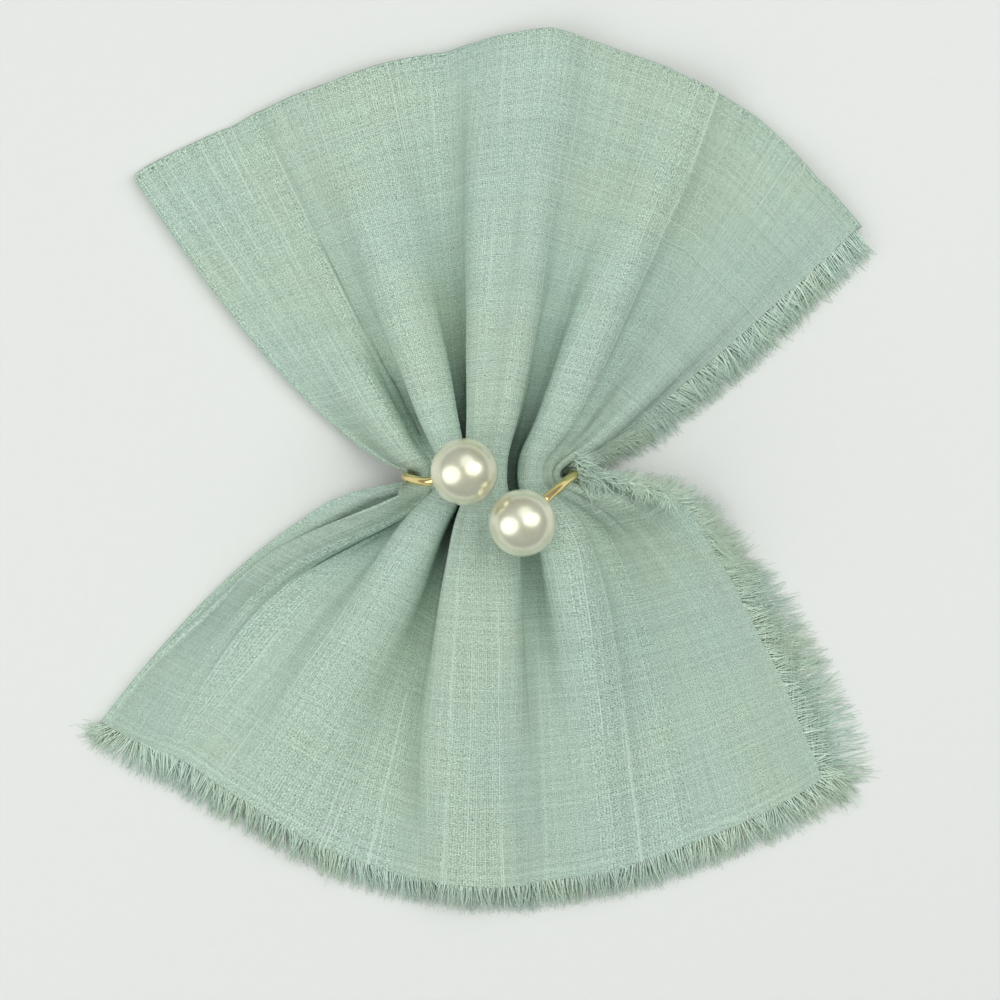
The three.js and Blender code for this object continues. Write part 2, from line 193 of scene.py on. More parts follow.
class NapkinSettings(PropertyGroup):
    thickness: FloatProperty(
        name="Cloth thickness",
        description="Thickness of one layer of gauze",
        default=0.45 * MM,
        unit="LENGTH",
    )
    layer_pitch: FloatProperty(
        name="Layer pitch",
        description="From one layer's middle to the next",
        default=1.1 * MM,
        unit="LENGTH",
    )
    side: FloatProperty(
        name="Napkin side",
        description="Side of the square cloth inside its fringe",
        default=0.476,
        unit="LENGTH",
    )
    rows: IntProperty(
        name="Rows per half",
        description="Rows of faces from the ring to an edge",
        default=46,
    )
    colour: FloatVectorProperty(
        name="Sage",
        description="Colour of the cloth",
        default=(0.425, 0.548, 0.458),
        subtype="COLOR",
        size=3,
    )
    cool: FloatVectorProperty(
        name="Cool sage",
        description="Colour of the bluish patches",
        default=(0.416, 0.548, 0.472),
        subtype="COLOR",
        size=3,
    )
    warm: FloatVectorProperty(
        name="Warm sage",
        description="Colour of the yellowish patches",
        default=(0.436, 0.552, 0.446),
        subtype="COLOR",
        size=3,
    )
    slub: FloatVectorProperty(
        name="Slub",
        description="Colour of the thick pale threads",
        default=(0.72, 0.85, 0.76),
        subtype="COLOR",
        size=3,
    )


class FringeSettings(PropertyGroup):
    spacing: FloatProperty(
        name="Thread spacing",
        description="From one frayed thread to the next",
        default=0.45 * MM,
        unit="LENGTH",
    )
    thread: FloatProperty(
        name="Thread radius",
        description="Radius of a frayed thread at its root",
        default=0.155 * MM,
        unit="LENGTH",
    )
    colour: FloatVectorProperty(
        name="Thread colour",
        description="Colour of the frayed threads",
        default=(0.64, 0.79, 0.69),
        subtype="COLOR",
        size=3,
    )


class RingSettings(PropertyGroup):
    wire_radius: FloatProperty(
        name="Wire radius",
        description="Radius of the ring's wire",
        default=1.3 * MM,
        unit="LENGTH",
    )
    pearl_radius: FloatProperty(
        name="Pearl radius",
        description="Radius of both pearls",
        default=9.5 * MM,
        unit="LENGTH",
    )
    gold: FloatVectorProperty(
        name="Gold",
        description="Colour of the wire",
        default=(0.93, 0.76, 0.38),
        subtype="COLOR",
        size=3,
    )
    pearl: FloatVectorProperty(
        name="Cream",
        description="Colour of the pearls",
        default=(0.80, 0.80, 0.63),
        subtype="COLOR",
        size=3,
    )


class StageSettings(PropertyGroup):
    floor: FloatVectorProperty(
        name="Floor",
        description="Colour of the floor",
        default=(0.80, 0.81, 0.79),
        subtype="COLOR",
        size=3,
    )
    camera_height: FloatProperty(
        name="Camera height",
        description="Height of the camera above the floor",
        default=1.2,
        unit="LENGTH",
    )
    view_width: FloatProperty(
        name="View width",
        description="Width of the floor that the camera takes in",
        default=0.29,
        unit="LENGTH",
    )


class Value:
    """An output of a material's node. Sums and products of it add Math nodes."""

    def __init__(self, paint, socket):
        self.paint = paint
        self.socket = socket

    def math(self, operation, *values):
        return self.paint.node("ShaderNodeMath", {"operation": operation}, dict(enumerate(values)))[0]

    def __add__(self, other):
        return self.math("ADD", self, other)

    def __sub__(self, other):
        return self.math("SUBTRACT", self, other)

    def __rsub__(self, other):
        return self.math("SUBTRACT", other, self)

    def __mul__(self, other):
        return self.math("MULTIPLY", self, other)

    def __truediv__(self, other):
        return self.math("DIVIDE", self, other)

    def __pow__(self, other):
        return self.math("POWER", self, other)

    __radd__ = __add__
    __rmul__ = __mul__

    def floor(self):
        return self.math("FLOOR", self)

    def fraction(self):
        return self.math("FRACT", self)

    def sine(self):
        return self.math("SINE", self)

    def above(self, low, high):
        """0 at low and below, 1 at high and above, smooth between."""
        settings = {"interpolation_type": "SMOOTHSTEP"}
        values = {"Value": self, "From Min": low, "From Max": high}
        return self.paint.node("ShaderNodeMapRange", settings, values)[0]


class Paint:
    """A procedural material with a Principled surface."""

    def __init__(self, name):
        self.material = bpy.data.materials.new(name)
        self.material.use_nodes = True
        self.tree = self.material.node_tree
        self.tree.nodes.clear()
        self.surface = self.tree.nodes.new("ShaderNodeBsdfPrincipled")
        output = self.tree.nodes.new("ShaderNodeOutputMaterial")
        self.tree.links.new(self.surface.outputs[0], output.inputs["Surface"])

    def node(self, kind, settings=None, values=None):
        """A new node with its settings and its inputs' values or links, given back as its outputs."""
        made = self.tree.nodes.new(kind)
        for key, setting in (settings or {}).items():
            setattr(made, key, setting)
        for key, value in (values or {}).items():
            self.plug(made.inputs[key], value)
        return [Value(self, socket) for socket in made.outputs]

    def plug(self, socket, value):
        """Link an output to the input, or set the input to a number, a vector or a colour."""
        if isinstance(value, Value):
            self.tree.links.new(value.socket, socket)
        elif isinstance(value, (int, float)):
            socket.default_value = value
        else:
            values = tuple(value)
            socket.default_value = (*values, 1) if socket.type == "RGBA" and len(values) == 3 else values

    def set(self, **values):
        for key, value in values.items():
            self.plug(self.surface.inputs[key.replace("_", " ")], value)

    def vector(self, x, y, z=0.0):
        return self.node("ShaderNodeCombineXYZ", values={0: x, 1: y, 2: z})[0]

    def chance(self, cell, seed):
        """A random number from 0 to 1 for each whole number."""
        values = {"Vector": self.vector(cell, seed)}
        return self.node("ShaderNodeTexWhiteNoise", {"noise_dimensions": "2D"}, values)[0]

    def noise(self, place, scale, detail=2.0, roughness=0.5):
        values = {"Vector": place, "Scale": scale, "Detail": detail, "Roughness": roughness}
        return self.node("ShaderNodeTexNoise", values=values)[0]

    def blend(self, share, first, second):
        """The first colour at a share of 0 and the second at 1."""
        values = {0: share, 6: first, 7: second}
        return self.node("ShaderNodeMix", {"data_type": "RGBA"}, values)[2]

    def shade(self, colour, amount):
        """The colour times a grey amount."""
        values = {0: colour, 1: self.vector(amount, amount, amount)}
        return self.node("ShaderNodeVectorMath", {"operation": "MULTIPLY"}, values)[0]

    def bump(self, height, distance, strength=1.0):
        values = {"Height": height, "Distance": distance, "Strength": strength}
        return self.node("ShaderNodeBump", values=values)[0]


def gauze_material(settings):
    """Plain-weave gauze linen with pale slubs both ways, on the cloth's own map in metres."""
    paint = Paint("gauze linen")
    place = paint.node("ShaderNodeUVMap", {"uv_map": "Weave"})[0]
    across, along, _ = paint.node("ShaderNodeSeparateXYZ", values={0: place})
    thread_pitch = 0.50 * MM
    slub_pitch = 0.38 * MM
    dash_width = 0.34 * MM
    dash_length = 0.8 * MM
    waver = paint.noise(place, 40.0, 1.0) * 0.0008 - 0.0004
    grain = 0.0
    slubs = 0.0
    threads = 0.0
    for direction, other, seed, rare in ((across, along, 3.1, 0.80), (along, across, 8.7, 0.90)):
        thread = (direction + waver) / thread_pitch
        pick = paint.chance(thread.floor(), seed)
        profile = (thread.fraction() * math.pi).sine()
        threads = profile * (0.7 + pick * 0.6) + threads
        dash = paint.noise(paint.vector(direction / dash_width, other / dash_length, seed), 1.0, 2.0)
        grain = (dash - 0.5) + (pick - 0.5) * 0.08 + grain
        coarse = (direction + waver) / slub_pitch
        chosen = paint.chance(coarse.floor(), seed + 21)
        stretch = paint.vector(other * 42.0, coarse.floor() * 3.7)
        fades = paint.noise(stretch, 1.0, 1.0)
        ridge = (coarse.fraction() * math.pi).sine() ** 0.6
        slub = chosen.above(rare, rare + 0.1) * fades.above(0.40, 0.58) * ridge
        slubs = slub.math("MAXIMUM", slub, slubs)
    speck = paint.noise(place, 3600.0, 2.0)
    relief = threads * 0.35 + grain + (speck - 0.5) * 0.8
    tone = 0.985 + grain * 0.70 + (speck - 0.5) * 2.9 + (threads - 0.9) * 0.22
    patches = paint.noise(place, 15.0, 2.0)
    colour = paint.blend(patches.above(0.40, 0.62), settings.warm, settings.cool)
    blot = paint.noise(place, 48.0, 3.0)
    colour = paint.blend(blot.above(0.35, 0.65) * 0.6, colour, settings.colour)
    colour = paint.shade(colour, tone)
    colour = paint.blend(slubs * 0.66, colour, settings.slub)
    paint.set(
        Base_Color=colour,
        Roughness=0.96 - slubs * 0.1,
        Normal=paint.bump(relief + slubs * 1.2, 0.13 * MM, 0.9),
        Specular_IOR_Level=0.05,
        Sheen_Weight=0.04,
        Sheen_Roughness=0.6,
        Sheen_Tint=(0.85, 0.95, 0.88),
    )
    return paint.material


def thread_material(settings):
    """Loose frayed thread: painted shade makes it darker towards its roots and paler towards its tips,
    with a twist and its own tone from thread to thread.
    """
    paint = Paint("frayed thread")
    place = paint.node("ShaderNodeTexCoord")[3]
    along = paint.node("ShaderNodeAttribute", {"attribute_name": "along"})[2]
    own = paint.node("ShaderNodeAttribute", {"attribute_name": "own_tone"})[2]
    fluff = paint.noise(place, 2400.0, 2.0)
    # The along term is painted shade: it darkens each thread near its root, where the cloth's edge and its
    # neighbours shade it.
    tone = 0.86 + own * 0.26 + along.above(0.0, 0.5) * 0.06 + (fluff - 0.5) * 0.16
    tint = paint.noise(place, 38.0, 2.0)
    warm = [c * f for c, f in zip(settings.colour, (1.03, 1.0, 0.95))]
    colour = paint.blend(tint.above(0.35, 0.65), settings.colour, warm)
    paint.set(
        Base_Color=paint.shade(colour, tone),
        Roughness=0.97 - fluff * 0.08,
        Alpha=1.0 - along.above(0.55, 1.0) * 0.45,
        Normal=paint.bump(fluff, 0.05 * MM, 0.6),
        Specular_IOR_Level=0.1,
        Sheen_Weight=0.3,
        Sheen_Roughness=0.6,
        Sheen_Tint=(0.85, 0.95, 0.88),
    )
    return paint.material


def gold_material(settings):
    """Polished gold plating with faint drawing marks and handling haze."""
    paint = Paint("gold plating")
    place = paint.node("ShaderNodeTexCoord")[3]
    haze = paint.noise(place, 160.0, 3.0)
    marks = paint.noise(place, 1900.0, 2.0)
    deep = [c * f for c, f in zip(settings.gold, (0.88, 0.82, 0.70))]
    paint.set(
        Base_Color=paint.blend(haze.above(0.35, 0.7), settings.gold, deep),
        Metallic=1.0,
        Roughness=0.07 + haze * 0.07,
        Normal=paint.bump(marks, 0.01 * MM, 0.3),
        Specular_Tint=(1.0, 0.95, 0.8),
    )
    return paint.material


def pearl_material(settings):
    """Pearl lustre: a clear coat over a satin body, whose mirror shine fades in a band by the rim."""
    paint = Paint("pearl lustre")
    place = paint.node("ShaderNodeTexCoord")[3]
    facing = paint.node("ShaderNodeLayerWeight", values={"Blend": 0.5})[1]
    cloud = paint.noise(place, 140.0, 3.0)
    cream = settings.pearl
    deep = [c * f for c, f in zip(cream, (0.90, 0.88, 0.80))]
    body = paint.blend(cloud.above(0.35, 0.65), deep, cream)
    shine = facing + (cloud - 0.5) * 0.05
    dust = paint.noise(place, 900.0, 2.0)
    paint.set(
        Base_Color=body,
        Metallic=0.60 + shine.above(0.02, 0.34) * 0.20 - shine.above(0.44, 0.60) * 0.65,
        Roughness=0.27 + cloud * 0.04,
        Normal=paint.bump(dust, 0.006 * MM, 0.25),
        Coat_Weight=1.0,
        Coat_Roughness=0.17,
        Coat_IOR=1.6,
    )
    return paint.material


def height_along(tau, heights):
    """A smooth curve through heights at 0, NEAR, MIDDLE and 1, level at 0, that never overshoots."""
    at = np.array([0.0, NEAR, MIDDLE, 1.0])
    secant = np.diff(heights, axis=1) / np.diff(at)
    product = secant[:, :-1] * secant[:, 1:]
    total = secant[:, :-1] + secant[:, 1:]
    inner = np.where(product > 0, 2 * product / np.where(total == 0, 1, total), 0)
    slope = np.column_stack([np.zeros(len(tau)), inner, secant[:, 2]])
    i = np.where(tau < NEAR, 0, np.where(tau < MIDDLE, 1, 2))
    n = np.arange(len(tau))
    step = at[i + 1] - at[i]
    t = (tau - at[i]) / step
    back = 1 - t
    return (
        heights[n, i] * (1 + 2 * t) * back * back
        + slope[n, i] * step * t * back * back
        + heights[n, i + 1] * (3 - 2 * t) * t * t
        - slope[n, i + 1] * step * t * t * back
    )


def on_line(index, v):
    """Points of the fold lines. v is -1 at the bottom edge, 0 in the ring and 1 at the top fold."""
    waist = FOLD_LINES[index]
    half = np.where((v < 0)[:, None], BOTTOM_HALF[index], TOP_HALF[index])
    tau = np.abs(v)
    grip = np.where(v < 0, GRIP[index, 1], GRIP[index, 0])
    spread = tau ** half[:, 2] * (1 - np.exp(-((tau / grip) ** 2)))
    heights = np.column_stack([waist[:, 1], half[:, 3:]])
    x = waist[:, 0] + (half[:, 0] - waist[:, 0]) * spread
    y = WAIST_Y + (half[:, 1] - WAIST_Y) * tau
    return np.column_stack([x, y, height_along(tau, heights)])


def flank(q, run, rise):
    """Share of the run and of the rise on a fold's flank: an arc, a straight run and an arc back."""
    run = np.maximum(run, 1e-6)
    rise = np.maximum(rise, 1e-6)
    steep = rise > run
    angle = np.where(steep, np.pi / 2, 2 * np.arctan(rise / run))
    radius = np.where(steep, run / 2, (run * run + rise * rise) / (4 * rise))
    arc = radius * angle
    straight = np.where(steep, rise - run, 0)
    length = 2 * arc + straight
    arc_share = np.minimum(arc / length, 0.4)
    near = np.minimum(q, 1 - q)
    on_straight = arc_share + (near - 0.4) / 0.2 * (1 - 2 * arc_share)
    share = np.where(near < 0.4, near / 0.4 * arc_share, on_straight)
    along = length * share
    turn = np.minimum(along, arc) / radius
    x = radius * np.sin(turn) / run
    z = (radius * (1 - np.cos(turn)) + np.maximum(0, along - arc)) / rise
    level = angle < 1e-3
    x = np.where(level, near, x)
    z = np.where(level, near, z)
    first = q <= 0.5
    return np.where(first, x, 1 - x), np.where(first, z, 1 - z)


def middle(across, v):
    """The stack's middle surface. across counts fold lines from the left, 0 to LAST."""
    index = np.clip(np.floor(across).astype(int), 0, LAST - 1)
    a = on_line(index, v)
    b = on_line(index + 1, v)
    run = np.hypot(b[:, 0] - a[:, 0], b[:, 1] - a[:, 1])
    x, z = flank(across - index, run, np.abs(b[:, 2] - a[:, 2]))
    point = a + (b - a) * x[:, None]
    point[:, 2] = a[:, 2] + (b[:, 2] - a[:, 2]) * z
    bow = np.abs(v) * run * run * x * (1 - x) / (2 * FAN_RADIUS)
    outward = np.column_stack([point[:, 0], point[:, 1] - WAIST_Y])
    outward /= np.maximum(np.linalg.norm(outward, axis=1), 1e-9)[:, None]
    point[:, :2] += outward * bow[:, None]
    return point


def unit(vectors):
    return vectors / np.maximum(np.linalg.norm(vectors, axis=1), 1e-12)[:, None]


def squeeze(across, v):
    ends = np.abs(across / LAST - 0.5) * 2
    pressed = 1 - WAIST_SQUEEZE + (WAIST_SQUEEZE - END_SQUEEZE) * np.clip(3 * ends - 1, 0, 1)
    return 1 - pressed * np.exp(-((v / SQUEEZE_REACH) ** 2))


def recessed(across, v, upper):
    """The upper pair of layers stops short of the lower on the right, and on the left below the ring."""
    share = np.sin(np.pi / 2 * np.clip((-v - RECESS_START) / 0.3, 0, 1))
    right = FRINGE_RECESS * share * np.clip(across - LAST + 1, 0, 1)
    left = LIP_RECESS * (1 + 0.7 * np.exp(-((v / 0.2) ** 2))) * lip_share(v) * np.clip(1 - across, 0, 1)
    return across + np.where(upper, left - right, 0)


def lip_share(v):
    """Where, below the ring, the lower pair's fold shows beside the upper one."""
    return smooth(0.015, 0.08, -v) * (1 - smooth(0.42, 0.80, -v))


def collar(across, v):
    """The cloth's upper right corner just below the ring, pushed up and out."""
    tau = -v
    below_ring = smooth(0.0, 0.06, tau) * (1 - smooth(0.12, 0.30, tau))
    share = below_ring * np.clip(across - LAST + 1, 0, 1) ** 1.5
    return np.column_stack([1.0 * share, 4.0 * share, 1.5 * share])


def ripples(across, v):
    """Soft unevenness along the cloth's normal: fine pleats near the ring and slow waves further out."""
    tau = np.abs(v)
    side = np.where(v < 0, 1.7, 0.0)
    pleats = np.exp(-(((tau - 0.17) / 0.12) ** 2)) * (
        0.32 * np.sin(across * 11.3 + side + 3 * np.sin(v * 9)) + 0.18 * np.sin(across * 19.1 + 2.2 * side)
    )
    slow = smooth(0.15, 0.6, tau) * (
        0.45 * np.sin(across * 2.9 + v * 7.0 + side)
        + 0.35 * np.sin(across * 5.1 - v * 4.1 + 1.3 + side)
        + 0.22 * np.sin(across * 9.7 + v * 13.0)
    )
    return pleats + slow


def sheet_points(across, column_turn, v, row_turn, settings):
    """Points of the folded cloth's own middle, with the threads' directions, in millimetres."""
    upper = row_turn > 0
    used = recessed(across, v, upper)
    d = 1e-3
    thread_u = unit(middle(np.minimum(used + d, LAST), v) - middle(np.maximum(used - d, 0), v))
    thread_v = unit(middle(used, np.minimum(v + d, 1)) - middle(used, np.maximum(v - d, -1)))
    normal = unit(np.cross(thread_u, thread_v))
    left = unit(np.cross(normal, thread_v))
    up = unit(np.cross(normal, thread_u))
    tight = squeeze(used, v)
    pitch = settings.layer_pitch / MM
    half_thickness = settings.thickness / MM / 2
    plump = 1 + PLUMP_FOLD * np.exp(-((across / 0.35) ** 2)) * smooth(0.04, 0.15, np.abs(v))
    radius = pitch / 2 * tight * plump
    lift = pitch * tight + radius * np.sin(column_turn)
    point = middle(used, v)
    half = 1.5 * pitch + half_thickness
    point = point + normal * (ripples(used, v) * smooth(FLOOR, FLOOR + 5, point[:, 2]))[:, None]
    point = point + normal * (lift * np.sin(row_turn))[:, None]
    point = point + up * (lift * np.cos(row_turn))[:, None]
    point = point + left * (radius * np.cos(column_turn))[:, None]
    point = point + collar(used, v)
    point[:, 2] -= (SOLID_STACK_HALF - half) * tight
    hump = 0.6 * np.sin(np.pi * np.clip(across / LIP_RECESS, 0, 1)) - 2.2 * smooth(0.22, 0.65, across)
    fades = 1 - smooth(1.0, 2.0, across)
    point[:, 2] += LIP_RISE * lip_share(v) * np.where(upper, np.clip(1 - across, 0, 1), hump * fades)
    point[:, 2] = np.maximum(point[:, 2], half_thickness)
    return point, thread_u, thread_v, normal


def bent_stations(places, steps):
    """The stations there, the turn of the bend, and back: places and turns."""
    there = [(place, -math.pi / 2) for place in reversed(places)]
    bend = [(places[0], -math.pi / 2 + math.pi * k / steps) for k in range(1, steps)]
    back = [(place, math.pi / 2) for place in places]
    return np.array(there + bend + back)


def cloth_stations(settings):
    """Stations of the cloth's columns and rows, with a narrow last strip along the frayed edges."""
    across = [i + k / n for i, n in enumerate(STEPS) for k in range(n)] + [LAST - BORDER_COLUMN, LAST]
    half = [(k / settings.rows) ** ROW_CROWDING for k in range(settings.rows + 1)]
    along = list(reversed(half)) + [-t for t in half[1:-1]] + [BORDER_ROW - 1, -1.0]
    return bent_stations(across, BEND_STEPS), bent_stations(along, BEND_STEPS)


def finish_piece(name, mesh, material):
    piece = bpy.data.objects.new(name, mesh)
    bpy.context.scene.collection.objects.link(piece)
    mesh.materials.clear()
    mesh.materials.append(material)
    for polygon in mesh.polygons:
        polygon.use_smooth = True
    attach(piece, "root")
    return piece


class NAPKIN_OT_cloth(Operator):
    """Make the folded and gathered cloth"""

    bl_idname = "napkin.cloth"
    bl_label = "Napkin Cloth"

    def execute(self, context):
        settings = context.scene.napkin_cloth_settings
        columns, rows = cloth_stations(settings)
        across, row_place = np.meshgrid(columns[:, 0], rows[:, 0])
        column_turn, row_turn = np.meshgrid(columns[:, 1], rows[:, 1])
        random = np.random.default_rng(5)
        uneven = random.uniform(0, UNEVEN_ROW, across.shape)
        frayed_row = np.maximum(row_place, -1 + np.where(row_place < -0.999, uneven, 0))
        uneven = random.uniform(0, UNEVEN_COLUMN, across.shape)
        frayed_across = across - np.where(across > LAST - 0.001, uneven, 0)
        stations = [values.ravel() for values in (frayed_across, column_turn, frayed_row, row_turn)]
        points = sheet_points(*stations, settings)[0]
        even = [values.ravel() for values in (across, column_turn, row_place, row_turn)]
        mesh = self.grid_mesh(points, self.weave_places(*even, settings), len(columns), len(rows))
        piece = finish_piece("gathered_cloth", mesh, gauze_material(settings))
        solid = piece.modifiers.new("Gauze thickness", "SOLIDIFY")
        solid.thickness = settings.thickness
        solid.offset = 0
        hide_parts("napkin_cloth")
        return {"FINISHED"}

    def weave_places(self, across, column_turn, row_place, row_turn, settings):
        """Where each point lies on the flat napkin, in metres, with the weave carried round both folds."""
        quarter = settings.side / 2
        shares = np.interp(across, np.arange(LAST + 1), FOLD_LINES[:, 2]) * quarter
        weave_u = np.where(column_turn < 0, -shares, shares) + FOLD_ARC * np.sin(column_turn / 2)
        from_edge = (row_place + 1) / 2 * quarter
        from_bottom = np.where(row_turn < 0, from_edge, settings.side - from_edge)
        weave_v = from_bottom + FOLD_ARC * np.sin(row_turn / 2)
        return list(zip(weave_u, weave_v))

    def grid_mesh(self, points, weave, columns, rows):
        """A grid of faces with its corners at the points, row by row, and the weave as its map."""
        work = bmesh.new()
        bmesh.ops.create_grid(work, x_segments=columns - 1, y_segments=rows - 1, size=1)
        if len(work.verts) != len(points):
            raise RuntimeError("the cloth's grid doesn't fit its stations")
        flat = [(round(vertex.co.y, 6), round(vertex.co.x, 6)) for vertex in work.verts]
        order = sorted(range(len(points)), key=flat.__getitem__)
        work.verts.ensure_lookup_table()
        weave_of = {}
        for vertex_index, place, station in zip(order, (points + SHIFT) * MM, weave):
            work.verts[vertex_index].co = place
            weave_of[vertex_index] = station
        for edge in work.edges:
            edge.smooth = not edge.is_boundary
        layer = work.loops.layers.uv.new("Weave")
        for face in work.faces:
            for loop in face.loops:
                loop[layer].uv = weave_of[loop.vert.index]
        mesh = bpy.data.meshes.new("cloth")
        work.to_mesh(mesh)
        work.free()
        return mesh


# Frayed threads gather in locks. A thread starts a new lock at this chance.
LOCK_CHANCE = 0.25
THREAD_POINTS = 7


def smoothed(random, count, reach):
    """Random numbers about 0, of spread 1, that change slowly from one thread to the next."""
    kernel = np.hanning(reach + 2)
    loose = np.convolve(random.normal(0, 1, count + reach), kernel, "same")[:count]
    return loose / np.sqrt((kernel**2).sum())


def threads(roots, headings, lengths, rests, seed, curl=0.0, loose=0.35):
    """Point lists of frayed threads in millimetres, which droop from their roots to their rest height."""
    random = np.random.default_rng(seed)
    count = len(roots)
    lock = np.cumsum(random.random(count) < LOCK_CHANCE)
    lock_size = np.maximum(np.bincount(lock), 1)
    lock_middle = np.stack([np.bincount(lock, roots[:, k]) / lock_size for k in range(3)], 1)
    gather = (lock_middle[lock] - roots) * [0.5, 0.5, 0]
    sideways = unit(np.cross(headings, [0, 0, 1.0]))
    lock_side = random.normal(0, 0.7, lock.max() + 1)[lock] + 0.8 * smoothed(random, count, 14)
    own_side = random.normal(0, loose, count)
    phase = random.random(count) * math.tau
    paths = np.empty((count, THREAD_POINTS, 3))
    for k, share in enumerate(np.linspace(0, 1, THREAD_POINTS)):
        side = lock_side * share**2 + own_side * share + loose * 0.8 * np.sin(phase + share * 5.5) * share
        point = roots + headings * (lengths * share)[:, None] + gather * share + sideways * side[:, None]
        fall = smooth(0.0, 0.9, share)
        point[:, 2] = roots[:, 2] + (rests - roots[:, 2]) * fall + curl * np.sin(np.pi * share)
        paths[:, k] = point
    return paths


def thread_mesh(name, paths, sizes, settings, seed):
    """One mesh of all the threads: each is a thin tapering tube, with its share of the way to its tip."""
    random = np.random.default_rng(seed + 100)
    curve = bpy.data.curves.new(name, "CURVE")
    curve.dimensions = "3D"
    curve.bevel_depth = settings.thread
    curve.bevel_resolution = 0
    count, points, _ = paths.shape
    taper = 1 - 0.7 * np.linspace(0, 1, points) ** 1.5
    for path, size in zip((paths + SHIFT) * MM, sizes * random.uniform(0.75, 1.2, count)):
        spline = curve.splines.new("POLY")
        spline.points.add(points - 1)
        spline.points.foreach_set("co", np.column_stack([path, np.ones(points)]).ravel())
        spline.points.foreach_set("radius", taper * size)
    holder = bpy.data.objects.new(name, curve)
    bpy.context.scene.collection.objects.link(holder)
    shown = bpy.context.evaluated_depsgraph_get()
    mesh = bpy.data.meshes.new_from_object(holder.evaluated_get(shown))
    bpy.data.objects.remove(holder)
    bpy.data.curves.remove(curve)
    around = len(mesh.vertices) // (count * points)
    if around * count * points != len(mesh.vertices):
        raise RuntimeError("the threads' points don't come out even")
    along = np.tile(np.repeat(np.linspace(0, 1, points), around), count)
    own = np.repeat(random.random(count), points * around)
    mesh.attributes.new("along", "FLOAT", "POINT").data.foreach_set("value", along)
    mesh.attributes.new("own_tone", "FLOAT", "POINT").data.foreach_set("value", own)
    work = bmesh.new()
    work.from_mesh(mesh)
    bmesh.ops.holes_fill(work, edges=work.edges, sides=around)
    bmesh.ops.recalc_face_normals(work, faces=work.faces)
    work.to_mesh(mesh)
    work.free()
    return mesh


# Layers from the lowest up: side of the top fold, side of the left fold, rest height, rise of the roots.
LAYERS = ((-1, 1, 0.35, 0.0), (-1, -1, 0.8, 0.0), (1, -1, 1.8, 0.0), (1, 1, 2.6, 0.12))

# Along each frayed edge: place on it, lean to +X and to +Y, lengths of the lower and the upper threads.
BOTTOM_FRINGE = np.array([
    [0.0, -0.90, 0.55, 7.0, 6.5],
    [0.25, -0.35, 0.15, 8.5, 8.0],
    [0.8, 0.30, 0.0, 9.5, 9.0],
    [3.5, 0.38, 0.0, 9.5, 9.0],
    [5.0, 0.25, 0.0, 8.0, 7.5],
    [6.0, 0.05, 0.0, 8.5, 7.5],
    [8.0, 0.0, 0.0, 9.0, 8.0],
    [11.0, 0.05, 0.0, 9.5, 8.5],
    [12.0, 0.55, 0.10, 11.5, 9.5],
])
LOWER_RIGHT_FRINGE = np.array([
    [-1.0, 0.0, -0.50, 14.0, 9.0],
    [-0.9, 0.0, -0.25, 13.5, 8.0],
    [-0.6, 0.0, -0.10, 13.0, 8.0],
    [-0.3, 0.0, -0.10, 12.0, 8.0],
    [-0.18, 0.0, 0.15, 9.0, 7.5],
    [-0.10, 0.0, 0.45, 6.0, 7.0],
    [-0.03, 0.0, 0.80, 4.5, 5.0],
])
UPPER_RIGHT_FRINGE = np.array([
    [0.01, 0.6, -0.30, 6.5, 6.0],
    [0.2, 0.3, -0.30, 9.5, 8.5],
    [0.6, 0.1, -0.25, 10.5, 9.0],
    [1.0, 0.1, -0.20, 9.0, 8.0],
])

# Where the curled threads by the ring end.
CURL_END = -0.09

# Loose tufts: place, spread of the roots, direction and half fan in degrees, count, length, drop, arch.
TUFTS = (
    ((26.5, 1.2, 18.0), (1.0, 1.6, 1.5), -20, 60, 90, 6.0, 2.0, 1.8),
    ((29.0, -2.4, 16.0), (1.6, 1.2, 1.5), -35, 50, 90, 6.5, 2.0, 1.6),
    ((98.5, -87.0, 2.4), (0.8, 0.8, 0.5), -38, 34, 70, 11.5, 2.0, 0.3),
    ((-108.4, -74.8, 2.2), (0.7, 0.7, 0.5), 205, 34, 50, 7.0, 2.0, 0.3),
)


def edge_places(right, stations):
    across = np.full(len(stations), float(LAST)) if right else stations
    v = stations if right else np.full(len(stations), -1.0)
    return across, v


